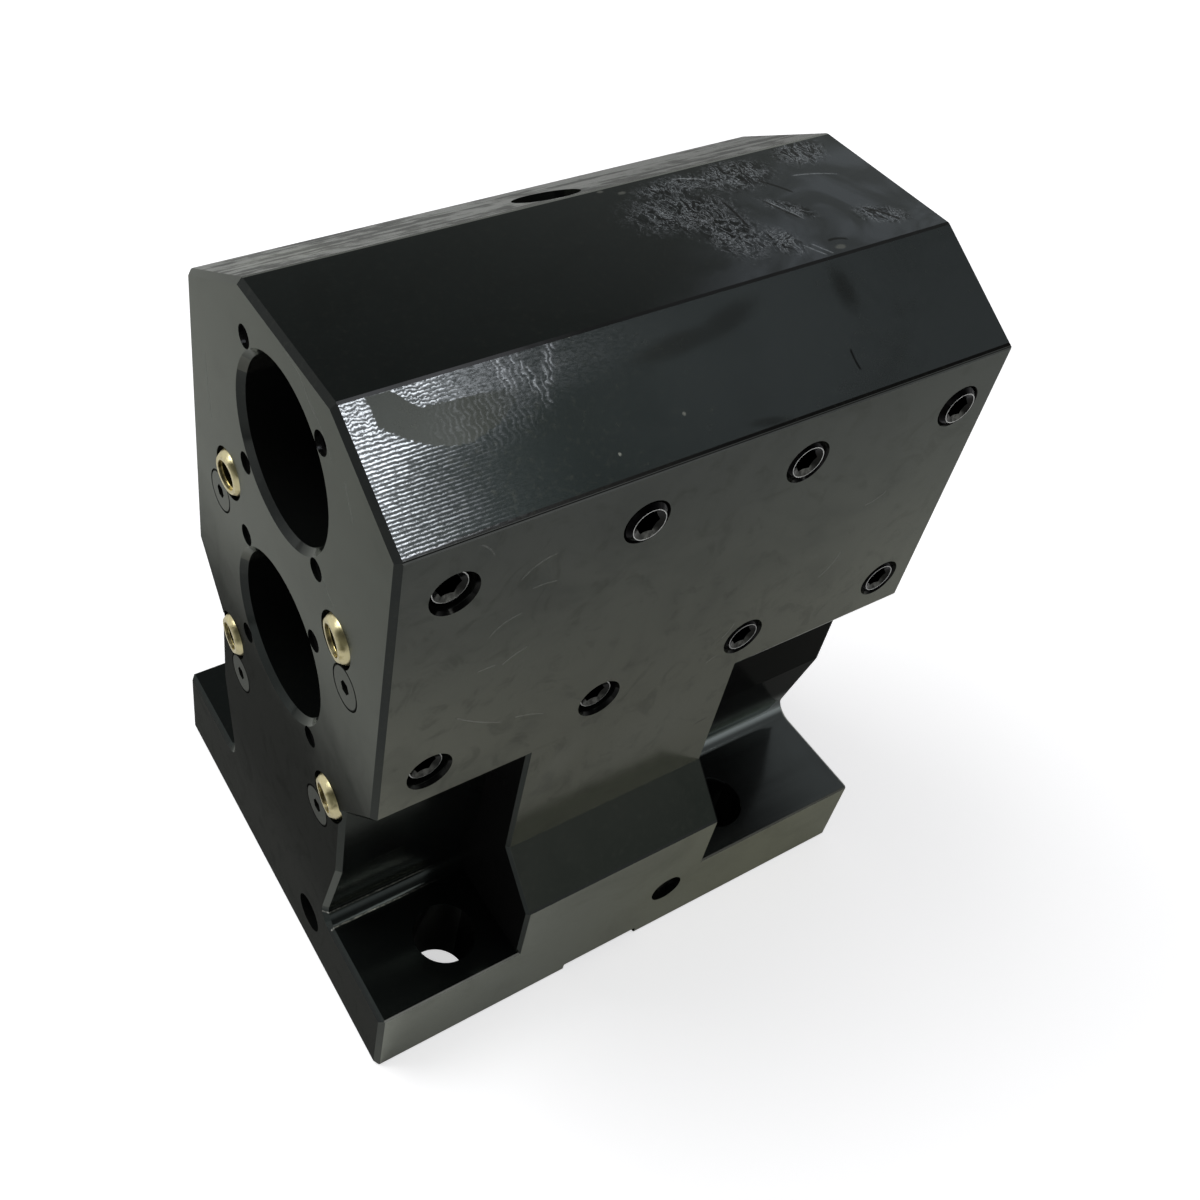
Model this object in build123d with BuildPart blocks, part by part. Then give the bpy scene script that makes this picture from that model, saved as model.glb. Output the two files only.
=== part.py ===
"""Turret tool holder with two boring bar bores, clamp screws and aimed coolant nozzles.

The frame's origin is the centre of the four turret bolts, on the mounting face.
+X runs along the bores, away from the nozzles. The clamp screws are on the -Y side, and +Z is up.
"""

import os
from math import asin, cos, degrees, radians, sin, sqrt, tan

from build123d import *

os.makedirs("parts", exist_ok=True)

# Holder block, in millimetres
left_reach = 55.5
right_reach = 66.5
overall_height = 153.0
base_width = 95.0
base_height = 19.5
block_width = 75.0
block_bottom = 76.4
top_flat_width = 32.5
top_slope_angle = 30.0
underside_angle = 49.0
neck_width = 54.0
undercut_top = 43.7
undercut_angle = 12.0
cove_radius = 3.5
web_width = 48.0
foot_top = 45.0
end_edge_break = 1.0
web_edge_break = 0.7
long_edge_break = 0.35

# Keyway and bolts of the mounting face
keyway_width = 19.0
keyway_depth = 2.0
bolt_spacing_x = 70.0
bolt_spacing_y = 73.0
bolt_hole_diameter = 13.0

# Tool bores and the tapped holes round their left mouths
bore_diameter = 32.0
lower_bore_height = 85.0
bore_pitch = 45.0
bore_mouth_break = 1.2
face_tap_circle = 38.5
face_tap_diameter = 4.2
face_tap_depth = 12.0
face_tap_count = 4

# Clamp screws, by their place along the bores and by how far each stands proud of the side
clamp_screw_diameter = 8.0
clamp_screw_length = 20.0
clamp_screw_tip = 5.5
clamp_socket = 4.0
clamp_socket_depth = 4.5
clamp_rim_break = 0.8
clamp_cone_diameter = 6.1
clamp_cone_angle = 120.0
clamp_mouth_diameter = 8.9
clamp_mouth_angle = 60.0
clamp_row_centre = 6.2
clamp_inner_span = 33.1
clamp_outer_span = 102.7
clamp_proud = {"upper": (-1.4, 0.7, 0.1, 0.6), "lower": (-1.4, -1.2, 0.0, 0.0)}

# Coolant nozzles: balls in the left face, each held by a screw beside it
nozzle_ball_diameter = 10.0
nozzle_depth = 2.7
nozzle_face_diameter = 7.4
nozzle_back_diameter = 2.8
nozzle_orifice = 2.4
nozzle_step = 5.2
nozzle_recess = 5.85
nozzle_recess_depth = 0.7
nozzle_step_depth = 3.0
nozzle_drop = 22.7
nozzle_side = 21.3
nozzle_mouth_diameter = 10.4
nozzle_rise = {
    ("upper", "front"): -4.0,
    ("upper", "rear"): -2.0,
    ("lower", "front"): -5.0,
    ("lower", "rear"): -2.0,
}
nozzle_turn = {
    ("upper", "front"): 6.0,
    ("upper", "rear"): -3.0,
    ("lower", "front"): 6.0,
    ("lower", "rear"): 3.0,
}
lock_head_diameter = 8.2
lock_head_rim = 0.8
lock_shank_diameter = 4.0
lock_length = 12.0
lock_socket = 2.5
lock_socket_depth = 1.8
lock_drop = 7.9
lock_shift = {"upper": 3.9, "lower": -3.8}
lock_head_gap = 0.25

# Square-cut rubber rings
nozzle_seal_bore = 6.0
nozzle_seal_diameter = 8.8
nozzle_seal_thickness = 1.4
inlet_seal_bore = 5.4
inlet_seal_diameter = 8.6
inlet_seal_thickness = 1.6

# Coolant galleries and their plugs
riser_x = 15.0
riser_diameter = 5.0
riser_port_diameter = 8.5
riser_plug_sunk = 1.0
feed_diameter = 5.0
gallery_diameter = 6.0
front_port_height = 14.6
front_port_diameter = 7.6
front_plug_sunk = 2.0
end_port_side = 16.2
end_port_height = 12.0
end_port_diameter = 8.5
end_plug_sunk = 4.0
slope_port_x = 6.3
slope_port_down = 7.4
slope_port_diameter = 12.5
slope_plug_sunk = 3.2
slope_port_depth = 10.0
port_feed_diameter = 5.0
plug_length = 5.0
plug_socket = 4.0
slope_plug_socket = 6.0
plug_socket_depth = 2.5

# Clearances
clamp_clearance = 0.05
nozzle_clearance = 0.08
seal_clearance = 0.04
plug_clearance = 0.03
drill_runout = 2.0

# Values worked out from the sizes above
body_length = left_reach + right_reach
side = block_width / 2
slope_drop = (side - top_flat_width / 2) * tan(radians(top_slope_angle))
neck_side = neck_width / 2
neck_top = block_bottom - (side - neck_side) * tan(radians(underside_angle))
undercut_foot = neck_side - (undercut_top - base_height) * tan(radians(undercut_angle))
foot_drop = base_width / 2 - side
bore_heights = {"lower": lower_bore_height, "upper": lower_bore_height + bore_pitch}
bore_radius = bore_diameter / 2
ball_radius = nozzle_ball_diameter / 2
ball_x = nozzle_depth - left_reach
seat_radius = ball_radius + nozzle_clearance
seal_front = nozzle_depth + sqrt((ball_radius + seal_clearance) ** 2 - (nozzle_seal_bore / 2) ** 2)
seal_pocket_radius = nozzle_seal_diameter / 2 + seal_clearance
seal_pocket_depth = seal_front + nozzle_seal_thickness + seal_clearance
seat_angle = degrees(asin(seal_pocket_radius / seat_radius))
inlet_pocket_radius = inlet_seal_diameter / 2 + seal_clearance
riser_top = bore_heights["upper"] - nozzle_drop
lock_head_length = lock_head_rim + (lock_head_diameter - lock_shank_diameter) / 2
hands = {"front": -1, "rear": 1}
clamp_spans = (-clamp_outer_span, -clamp_inner_span, clamp_inner_span, clamp_outer_span)
clamp_places = [clamp_row_centre + span / 2 for span in clamp_spans]


def end_plane(y, z):
    """The left end face at a place, looking out of the block."""
    return Plane(origin=(-left_reach, y, z), x_dir=(0, 1, 0), z_dir=(-1, 0, 0))


def side_plane(x, z, proud=0.0):
    """The clamp screws' side face at a place, looking out of the block."""
    return Plane(origin=(x, -side - proud, z), x_dir=(1, 0, 0), z_dir=(0, -1, 0))


def write(part, node):
    part.label = node
    export_step(part, f"parts/{node}.step")


nozzle_places = {}
lock_places = {}
for level, bore_height in bore_heights.items():
    for hand, sign in hands.items():
        nozzle_height = bore_height - nozzle_drop
        nozzle_places[level, hand] = (sign * nozzle_side, nozzle_height)
        lock_places[level, hand] = (sign * (nozzle_side + lock_shift[level]), nozzle_height - lock_drop)

front_port_place = (riser_x, -base_width / 2, front_port_height)
front_port_plane = Plane(origin=front_port_place, x_dir=(1, 0, 0), z_dir=(0, -1, 0))
end_port_plane = end_plane(-end_port_side, end_port_height)
inlet_plane = Plane(origin=(riser_x, -nozzle_side, 0), x_dir=(1, 0, 0), z_dir=(0, 0, -1))
riser_port_plane = Plane(origin=(riser_x, nozzle_side, 0), x_dir=(1, 0, 0), z_dir=(0, 0, -1))
slope_run = slope_port_down * cos(radians(top_slope_angle))
slope_fall = slope_port_down * sin(radians(top_slope_angle))
slope_port_plane = Plane(
    origin=(slope_port_x, top_flat_width / 2 + slope_run, overall_height - slope_fall),
    x_dir=(1, 0, 0),
    z_dir=(0, sin(radians(top_slope_angle)), cos(radians(top_slope_angle))),
)

# The web between the bolt pockets, with a foot that steps out to the base
with BuildPart() as web:
    with BuildSketch(Plane.YZ.offset(-web_width / 2)) as web_outline:
        with BuildLine() as web_half:
            Polyline(
                (0, base_height / 2),
                (base_width / 2, base_height / 2),
                (base_width / 2, foot_top - foot_drop),
                (side, foot_top),
                (side, block_bottom + cove_radius),
                (0, block_bottom + cove_radius),
            )
            mirror(about=Plane.YZ)
        make_face()
    extrude(amount=web_width)
    chamfer(web.faces().filter_by(Axis.X).edges(), web_edge_break)

# The holder: one block milled all over
with BuildPart() as holder_body:
    # One section from end to end: base, undercut neck and the block with its sloping shoulders
    with BuildSketch(Plane.YZ.offset(-left_reach)) as long_outline:
        with BuildLine() as long_half:
            Polyline(
                (0, 0),
                (base_width / 2, 0),
                (base_width / 2, base_height),
                (undercut_foot, base_height),
                (neck_side, undercut_top),
                (neck_side, neck_top),
                (side, block_bottom),
                (side, overall_height - slope_drop),
                (top_flat_width / 2, overall_height),
                (0, overall_height),
            )
            mirror(about=Plane.YZ)
        make_face()
        corners = long_outline.vertices()
        coves = corners.filter_by(lambda v: abs(v.X) < neck_side and 0 < v.Y < undercut_top)
        fillet(coves, cove_radius)
    extrude(amount=body_length)
    ends = holder_body.faces().filter_by(Axis.X).sort_by(Axis.X)
    chamfer(ends[0].edges() + ends[-1].edges(), end_edge_break)
    lengthwise = holder_body.edges().filter_by(Axis.X)
    outer = lengthwise.filter_by(lambda edge: abs(edge.center().Y) > (side + neck_side) / 2)
    crest = lengthwise.filter_by(lambda edge: edge.center().Z > overall_height - slope_drop / 2)
    chamfer(outer + crest, long_edge_break)
    add(web.part)

    # Tool bores, right through
    with BuildSketch(Plane.YZ.offset(-left_reach)) as bore_outline:
        with Locations(*[(0, height) for height in bore_heights.values()]):
            Circle(bore_radius)
    extrude(amount=body_length, mode=Mode.SUBTRACT)
    rims = holder_body.edges().filter_by(GeomType.CIRCLE)
    rims = rims.filter_by(lambda edge: abs(edge.radius - bore_radius) < bore_mouth_break / 10)
    chamfer(rims, bore_mouth_break)

    # Tapped holes round the left mouths
    for bore_height in bore_heights.values():
        with Locations(end_plane(0, bore_height)):
            with PolarLocations(face_tap_circle / 2, face_tap_count, start_angle=180 / face_tap_count):
                Hole(face_tap_diameter / 2, depth=face_tap_depth)

    # Turret bolts and the keyway across the mounting face
    with Locations((0, 0, base_height)):
        with GridLocations(bolt_spacing_x, bolt_spacing_y, 2, 2):
            Hole(bolt_hole_diameter / 2, depth=base_height)
    with BuildSketch(Plane.XY) as keyway:
        Rectangle(keyway_width, base_width)
    extrude(amount=keyway_depth, mode=Mode.SUBTRACT)

    # Clamp screw holes, through the side wall into each bore
    for bore_height in bore_heights.values():
        with Locations(*[side_plane(x, bore_height) for x in clamp_places]):
            CounterSinkHole(
                clamp_screw_diameter / 2 + clamp_clearance,
                clamp_mouth_diameter / 2,
                depth=side,
                counter_sink_angle=clamp_mouth_angle,
            )

    # Nozzle seats: a straight mouth, a round bottom, a pocket for the seal and the feed behind it
    for y, z in nozzle_places.values():
        seat_plane = Plane(origin=(-left_reach, y, z), x_dir=(1, 0, 0), z_dir=(0, 1, 0))
        with BuildSketch(seat_plane) as seat_half:
            with BuildLine() as seat_line:
                CenterArc((nozzle_depth, 0), seat_radius, seat_angle, 90 - seat_angle)
                Polyline(
                    (nozzle_depth, seat_radius),
                    (nozzle_depth, nozzle_mouth_diameter / 2),
                    (0, nozzle_mouth_diameter / 2),
                    (0, 0),
                    (left_reach + riser_x, 0),
                    (left_reach + riser_x, feed_diameter / 2),
                    (seal_pocket_depth, feed_diameter / 2),
                    (seal_pocket_depth, seal_pocket_radius),
                    seat_line.edges()[0] @ 0,
                )
            make_face()
        revolve(axis=Axis(seat_plane.origin, (1, 0, 0)), mode=Mode.SUBTRACT)

    # Holes of the screws that hold the nozzles
    for y, z in lock_places.values():
        with Locations(end_plane(y, z)):
            Hole(lock_head_diameter / 2 + lock_head_gap, depth=lock_head_rim)
            Hole(lock_shank_diameter / 2 + plug_clearance, depth=lock_length + drill_runout)
        with Locations(end_plane(y, z).offset(-lock_head_rim)):
            CounterSinkHole(
                lock_shank_diameter / 2 + plug_clearance,
                lock_head_diameter / 2 + plug_clearance,
                depth=lock_length,
                counter_sink_angle=90,
            )

    # Risers from the mounting face: the front one is the sealed inlet and the rear one is plugged
    with Locations(inlet_plane):
        CounterBoreHole(
            riser_diameter / 2,
            inlet_pocket_radius,
            inlet_seal_thickness + seal_clearance,
            depth=riser_top,
        )
    with Locations(riser_port_plane):
        CounterBoreHole(
            riser_diameter / 2,
            riser_port_diameter / 2,
            riser_plug_sunk + plug_length,
            depth=riser_top,
        )

    # Gallery across the base from the front port to both risers, and along it from the end port
    with Locations(front_port_plane):
        CounterBoreHole(
            gallery_diameter / 2,
            front_port_diameter / 2,
            front_plug_sunk + plug_length,
            depth=base_width / 2 + nozzle_side,
        )
    with Locations(end_port_plane):
        CounterBoreHole(
            gallery_diameter / 2,
            end_port_diameter / 2,
            end_plug_sunk + plug_length,
            depth=left_reach + riser_x,
        )

    # Plugged port in the rear slope, with a feed into the upper bore
    with Locations(slope_port_plane):
        CounterBoreHole(port_feed_diameter / 2, slope_port_diameter / 2, slope_port_depth, depth=side)

write(holder_body.part, "holder_body")

# Clamp screws: chamfered socket end, straight thread body and a reduced tip
for level, bore_height in bore_heights.items():
    for number, (x, proud) in enumerate(zip(clamp_places, clamp_proud[level]), start=1):
        socket_plane = side_plane(x, bore_height, proud)
        with BuildPart() as clamp_screw:
            with BuildSketch(socket_plane) as screw_section:
                Circle(clamp_screw_diameter / 2)
            extrude(amount=-clamp_screw_length)
            screw_ends = clamp_screw.faces().filter_by(Axis.Y).sort_by(Axis.Y)
            chamfer(screw_ends[0].edges(), clamp_rim_break)
            chamfer(screw_ends[-1].edges(), (clamp_screw_diameter - clamp_screw_tip) / 2)
            with Locations(socket_plane):
                CounterSinkHole(
                    clamp_socket / 2,
                    clamp_cone_diameter / 2,
                    depth=clamp_socket_depth,
                    counter_sink_angle=clamp_cone_angle,
                )
            with BuildSketch(socket_plane) as socket_section:
                RegularPolygon(clamp_socket / 2, 6, major_radius=False)
            extrude(amount=-clamp_socket_depth, mode=Mode.SUBTRACT)
        write(clamp_screw.part, f"{level}_clamp_screw_{number}")

# Nozzles: truncated balls with a stepped jet through them, turned to their aim
face_reach = sqrt(ball_radius**2 - (nozzle_face_diameter / 2) ** 2)
back_reach = sqrt(ball_radius**2 - (nozzle_back_diameter / 2) ** 2)
for (level, hand), (y, z) in nozzle_places.items():
    rise = radians(nozzle_rise[level, hand])
    turn = radians(nozzle_turn[level, hand])
    aim = Vector(-cos(rise) * cos(turn), cos(rise) * sin(turn), sin(rise))
    side_way = aim.cross(Vector(0, 0, 1))
    centre = Vector(ball_x, y, z)
    with BuildPart() as nozzle:
        with BuildSketch(Plane(origin=centre, x_dir=aim, z_dir=side_way)) as ball_half:
            with BuildLine() as ball_line:
                ThreePointArc(
                    (-back_reach, nozzle_back_diameter / 2),
                    (0, ball_radius),
                    (face_reach, nozzle_face_diameter / 2),
                )
                Polyline(
                    (face_reach, nozzle_face_diameter / 2),
                    (face_reach, nozzle_recess / 2),
                    (face_reach - nozzle_recess_depth, nozzle_recess / 2),
                    (face_reach - nozzle_recess_depth, nozzle_step / 2),
                    (face_reach - nozzle_step_depth, nozzle_step / 2),
                    (face_reach - nozzle_step_depth, nozzle_orifice / 2),
                    (-back_reach, nozzle_orifice / 2),
                    (-back_reach, nozzle_back_diameter / 2),
                )
            make_face()
        revolve(axis=Axis(centre, aim))
    write(nozzle.part, f"{level}_{hand}_nozzle")

# Seals behind the nozzles
for (level, hand), (y, z) in nozzle_places.items():
    seal_plane = end_plane(y, z).offset(-seal_front)
    with BuildPart() as nozzle_seal:
        with BuildSketch(seal_plane) as nozzle_ring:
            Circle(nozzle_seal_diameter / 2)
            Circle(nozzle_seal_bore / 2, mode=Mode.SUBTRACT)
        extrude(amount=-nozzle_seal_thickness)
    write(nozzle_seal.part, f"{level}_{hand}_nozzle_seal")

# Screws that hold the nozzles: flush heads whose rims reach over the balls
for (level, hand), (y, z) in lock_places.items():
    head_plane = end_plane(y, z)
    half_plane = Plane(origin=head_plane.origin, x_dir=(0, 1, 0), z_dir=(0, 0, 1))
    with BuildPart() as lock_screw:
        with BuildSketch(half_plane) as lock_half:
            with BuildLine() as lock_line:
                Polyline(
                    (0, 0),
                    (lock_head_diameter / 2, 0),
                    (lock_head_diameter / 2, -lock_head_rim),
                    (lock_shank_diameter / 2, -lock_head_length),
                    (lock_shank_diameter / 2, -lock_length),
                    (0, -lock_length),
                    close=True,
                )
            make_face()
        revolve(axis=Axis(head_plane.origin, (1, 0, 0)))
        with BuildSketch(head_plane) as lock_socket_section:
            RegularPolygon(lock_socket / 2, 6, major_radius=False)
        extrude(amount=-lock_socket_depth, mode=Mode.SUBTRACT)
    write(lock_screw.part, f"{level}_{hand}_lock_screw")

# Plugs that close the ends of the galleries
plugs = {
    "front_plug": (front_port_plane.offset(-front_plug_sunk), front_port_diameter, plug_socket),
    "end_plug": (end_port_plane.offset(-end_plug_sunk), end_port_diameter, plug_socket),
    "riser_plug": (riser_port_plane.offset(-riser_plug_sunk), riser_port_diameter, plug_socket),
    "slope_plug": (slope_port_plane.offset(-slope_plug_sunk), slope_port_diameter, slope_plug_socket),
}
for node, (plane, port_diameter, socket) in plugs.items():
    with BuildPart() as plug:
        with BuildSketch(plane) as plug_section:
            Circle(port_diameter / 2 - plug_clearance)
        extrude(amount=-plug_length)
        with BuildSketch(plane) as plug_socket_section:
            RegularPolygon(socket / 2, 6, major_radius=False)
        extrude(amount=-plug_socket_depth, mode=Mode.SUBTRACT)
    write(plug.part, node)

# Seal of the coolant inlet in the mounting face
with BuildPart() as inlet_seal:
    with BuildSketch(inlet_plane) as inlet_ring:
        Circle(inlet_seal_diameter / 2)
        Circle(inlet_seal_bore / 2, mode=Mode.SUBTRACT)
    extrude(amount=-inlet_seal_thickness)
write(inlet_seal.part, "inlet_seal")
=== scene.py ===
# %% [markdown]
# # A turret tool holder, dressed in Blender
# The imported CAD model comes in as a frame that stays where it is. Everything here is about how the
# real thing looks: blackened steel with oil and milling marks, brass nozzles, and the fine threads
# that are too small for the CAD model. Lengths are metres unless a name ends in _MM or _mm.

import math

import bmesh
import bpy
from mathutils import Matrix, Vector


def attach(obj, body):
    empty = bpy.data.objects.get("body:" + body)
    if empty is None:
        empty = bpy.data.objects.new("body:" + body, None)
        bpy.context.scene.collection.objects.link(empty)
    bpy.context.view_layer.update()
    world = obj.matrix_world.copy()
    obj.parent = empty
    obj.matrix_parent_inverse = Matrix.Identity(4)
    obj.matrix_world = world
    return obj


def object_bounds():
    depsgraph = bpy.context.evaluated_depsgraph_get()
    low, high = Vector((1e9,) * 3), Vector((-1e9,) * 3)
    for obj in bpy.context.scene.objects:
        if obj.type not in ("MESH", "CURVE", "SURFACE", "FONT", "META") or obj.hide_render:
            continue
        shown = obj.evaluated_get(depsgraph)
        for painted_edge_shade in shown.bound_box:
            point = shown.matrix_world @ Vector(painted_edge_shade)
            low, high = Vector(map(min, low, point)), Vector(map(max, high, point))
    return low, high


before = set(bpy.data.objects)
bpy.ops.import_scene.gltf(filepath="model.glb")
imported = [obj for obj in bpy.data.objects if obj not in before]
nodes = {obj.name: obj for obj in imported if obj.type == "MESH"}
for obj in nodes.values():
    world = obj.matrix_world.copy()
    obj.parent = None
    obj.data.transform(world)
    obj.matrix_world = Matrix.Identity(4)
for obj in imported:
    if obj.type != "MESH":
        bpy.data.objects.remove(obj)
cad_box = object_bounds()
print("nodes:", len(nodes), "box:", [round(v, 4) for v in (*cad_box[0], *cad_box[1])])

# %% [markdown]
# ## Sizes that the finishes need
# A finish on a block like this follows its faces: each one was milled in its own pass. The faces are
# planes at known places, so their sizes are written here once, in millimetres.

# %% Faces of the block, in millimetres
LEFT_MM, TOP_MM, SIDE_MM, BASE_SIDE_MM = -55.5, 153.0, 37.5, 47.5
TOP_EDGE_MM, SLOPE_DEG = 16.25, 30.0
SHOULDER_EDGE_MM = TOP_MM - (SIDE_MM - TOP_EDGE_MM) * math.tan(math.radians(SLOPE_DEG))
BASE_TOP_MM, NECK_MM, BLOCK_LOW_MM = 19.5, 60.0, 76.0
POCKET_START_MM = 23.4
BORE_HEIGHTS_MM = {"upper": 130.0, "lower": 85.0}
print("shoulder edge at", round(SHOULDER_EDGE_MM, 2), "mm")

# %% [markdown]
# ## Shader maths that reads like maths
# A material in Blender is a net of nodes. Wiring each Math node by hand hides the formula, so one
# small class wraps an output socket and gives it Python's operators. An expression such as
# 1 - mask then adds its own Math nodes.

# %% A value that runs through a material
class Wire:
    """The output of a node, which takes part in Python expressions."""

    def __init__(self, finish, socket):
        self.finish = finish
        self.socket = socket

    def __add__(self, other):
        return self.finish.math("ADD", self, other)

    def __radd__(self, other):
        return self.finish.math("ADD", other, self)

    def __sub__(self, other):
        return self.finish.math("SUBTRACT", self, other)

    def __rsub__(self, other):
        return self.finish.math("SUBTRACT", other, self)

    def __mul__(self, other):
        return self.finish.math("MULTIPLY", self, other)

    def __rmul__(self, other):
        return self.finish.math("MULTIPLY", other, self)

    def __truediv__(self, other):
        return self.finish.math("DIVIDE", self, other)

    def __gt__(self, other):
        return self.finish.math("GREATER_THAN", self, other)

    def __lt__(self, other):
        return self.finish.math("LESS_THAN", self, other)

    def __abs__(self):
        return self.finish.math("ABSOLUTE", self)


# %% [markdown]
# ## One way to add any other node
# The finish holds the material and its shader. Its add method takes a node's type, the settings that
# must come before its sockets, and the sockets' values or wires, in order or by name.

# %% A finish: one material and the nodes in it
class Finish:
    """A procedural material with a Principled shader."""

    def __init__(self, name, **constants):
        self.material = bpy.data.materials.new(name)
        self.material.use_nodes = True
        self.tree = self.material.node_tree
        self.shader = self.tree.nodes["Principled BSDF"]
        for socket, value in constants.items():
            self.shader.inputs[socket.replace("_", " ")].default_value = value

    def add(self, kind, settings, *values, output=0, sockets=None, **named):
        """Adds a node, with its sockets fed in order, by number or by name. Returns one output."""
        node = self.tree.nodes.new("ShaderNode" + kind)
        for key, value in settings.items():
            setattr(node, key, value)
        for key, value in {**dict(enumerate(values)), **(sockets or {}), **named}.items():
            self.feed(node.inputs[key], value)
        return Wire(self, node.outputs[output])

    def math(self, operation, *values):
        """Adds a Math node."""
        return self.add("Math", {"operation": operation}, *values)

    def feed(self, target, value):
        """Links a wire to a socket, or writes a plain value into it."""
        if isinstance(value, Wire):
            self.tree.links.new(value.socket, target)
        else:
            target.default_value = value

    def give(self, socket, value):
        """Feeds a socket of the shader by its name."""
        self.feed(self.shader.inputs[socket], value)

    def blend(self, mask, other):
        """Lets another shader take over where the mask is 1."""
        own, guest = (Wire(self, node.outputs[0]) for node in (self.shader, other))
        both = self.add("MixShader", {}, mask, own, guest)
        self.tree.links.new(both.socket, self.tree.nodes["Material Output"].inputs["Surface"])

    def dull(self, mask):
        """Lets a matt black take over where the mask is 1, mirror light included. It paints shade as well
        as dark marks.
        """
        shade_and_mark_black = self.tree.nodes.new("ShaderNodeBsdfPrincipled")
        shade_and_mark_black.inputs["Base Color"].default_value = (0.006, 0.006, 0.006, 1.0)
        shade_and_mark_black.inputs["Roughness"].default_value = 0.9
        shade_and_mark_black.inputs["Specular IOR Level"].default_value = 0.0
        self.blend(mask, shade_and_mark_black)


# %% [markdown]
# ## Places, masks and textures
# Every pattern is laid out in the part's own millimetres, so that it stays put when the part moves
# and has the size that it has in steel. Colours never pass through Math nodes, which would turn them
# grey: they go through a Mix node with a mask as its factor.

# %% Helpers that every finish uses
def lay_out(finish):
    """Splits the place and the direction of the surface into plain wires."""
    coordinates = finish.add("TexCoord", {}, output="Object")
    finish.place = finish.add("VectorMath", {"operation": "SCALE"}, coordinates, Scale=1000.0)
    split = finish.add("SeparateXYZ", {}, finish.place)
    finish.x, finish.y, finish.z = (Wire(finish, out) for out in split.socket.node.outputs)
    normal = finish.add("TexCoord", {}, output="Normal")
    facing = finish.add("SeparateXYZ", {}, normal)
    finish.nx, finish.ny, finish.nz = (Wire(finish, out) for out in facing.socket.node.outputs)


def step_up(finish, value, start, end):
    """0 below start and 1 above end, smooth in between. Start may lie above end."""
    settings = {"interpolation_type": "SMOOTHSTEP", "clamp": True}
    return finish.add("MapRange", settings, value, start, end, 0.0, 1.0)


def mix(finish, mask, first, second):
    """First where the mask is 0, second where it is 1. Both are colours."""
    first, second = ((*c, 1.0) if isinstance(c, tuple) else c for c in (first, second))
    return finish.add("Mix", {"data_type": "RGBA"}, sockets={0: mask, 6: first, 7: second}, output=2)


def stretched(finish, sx, sy, sz):
    """The place with each axis scaled, which draws a texture out along an axis."""
    return finish.add("VectorMath", {"operation": "MULTIPLY"}, finish.place, (sx, sy, sz))


def noise(finish, vector, scale, detail=2.0, roughness=0.5, distortion=0.0):
    """Cloudy noise from 0 to 1, with its scale in features per millimetre."""
    grain = {"Scale": scale, "Detail": detail, "Roughness": roughness, "Distortion": distortion}
    return finish.add("TexNoise", {}, Vector=vector, **grain)


# %% [markdown]
# ## Scratches and spots
# A mark on a flat face needs only the face's own two axes. A point on it is written (across, up, 1),
# so that one dot product both turns and shifts it: it says how far the point lies from the mark's
# origin along a direction, in lengths of the mark. A Mapping node would do the same, but it works out
# its sines for every sample of the picture, which is slow with many marks. So every mark comes to the
# same standard form: a scratch runs from 0 to 1, and a spot is a circle of radius 1.

# %% One scratch and one spot
def measured(finish, point, origin, turn, size):
    """How far the face's point lies from origin along a direction, in sizes. Turn is in radians."""
    across, up = math.cos(turn) / size, math.sin(turn) / size
    shift = -(origin[0] * across + origin[1] * up)
    weights = (across, up, shift)
    return finish.add("VectorMath", {"operation": "DOT_PRODUCT"}, point, weights, output="Value")


def scratch(finish, point, start, end, width, bow=0.0):
    """A mask along a bowed line from start to end that tapers to a point at both ends."""
    run, rise = end[0] - start[0], end[1] - start[1]
    turn = math.atan2(rise, run)
    t = measured(finish, point, start, turn, math.hypot(run, rise))
    sideways = measured(finish, point, start, turn + math.pi / 2, width)
    taper = t * (1.0 - t)
    gap = abs(finish.math("MULTIPLY_ADD", taper, -4.0 * bow / width, sideways))
    return step_up(finish, gap, 1.0, 0.2) * step_up(finish, taper, 0.0, 0.12)


def spot(finish, point, centre, half, turn=0.0, rim=0.35, rag=0.0):
    """A mask over an oval, turned by degrees, with a soft rim that rag makes uneven."""
    turn = math.radians(turn)
    first = measured(finish, point, centre, turn, half[0])
    second = measured(finish, point, centre, turn + math.pi / 2, half[1])
    reach = finish.math("SQRT", finish.math("MULTIPLY_ADD", first, first, second * second))
    return step_up(finish, reach + rag, 1.0 + rim, 1.0 - rim)


def strongest(masks):
    """The greatest of several masks at each point."""
    top = masks[0]
    for mask in masks[1:]:
        top = top.finish.math("MAXIMUM", top, mask)
    return top


# %% [markdown]
# ## Blackened steel: which face is which
# The block is blackened all over, but each face has its own milling and its own handling. The
# direction of the surface tells the faces apart, and its place tells the base from the block. The
# narrow broken edges between two faces lean halfway, so they can be told from both.

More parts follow.
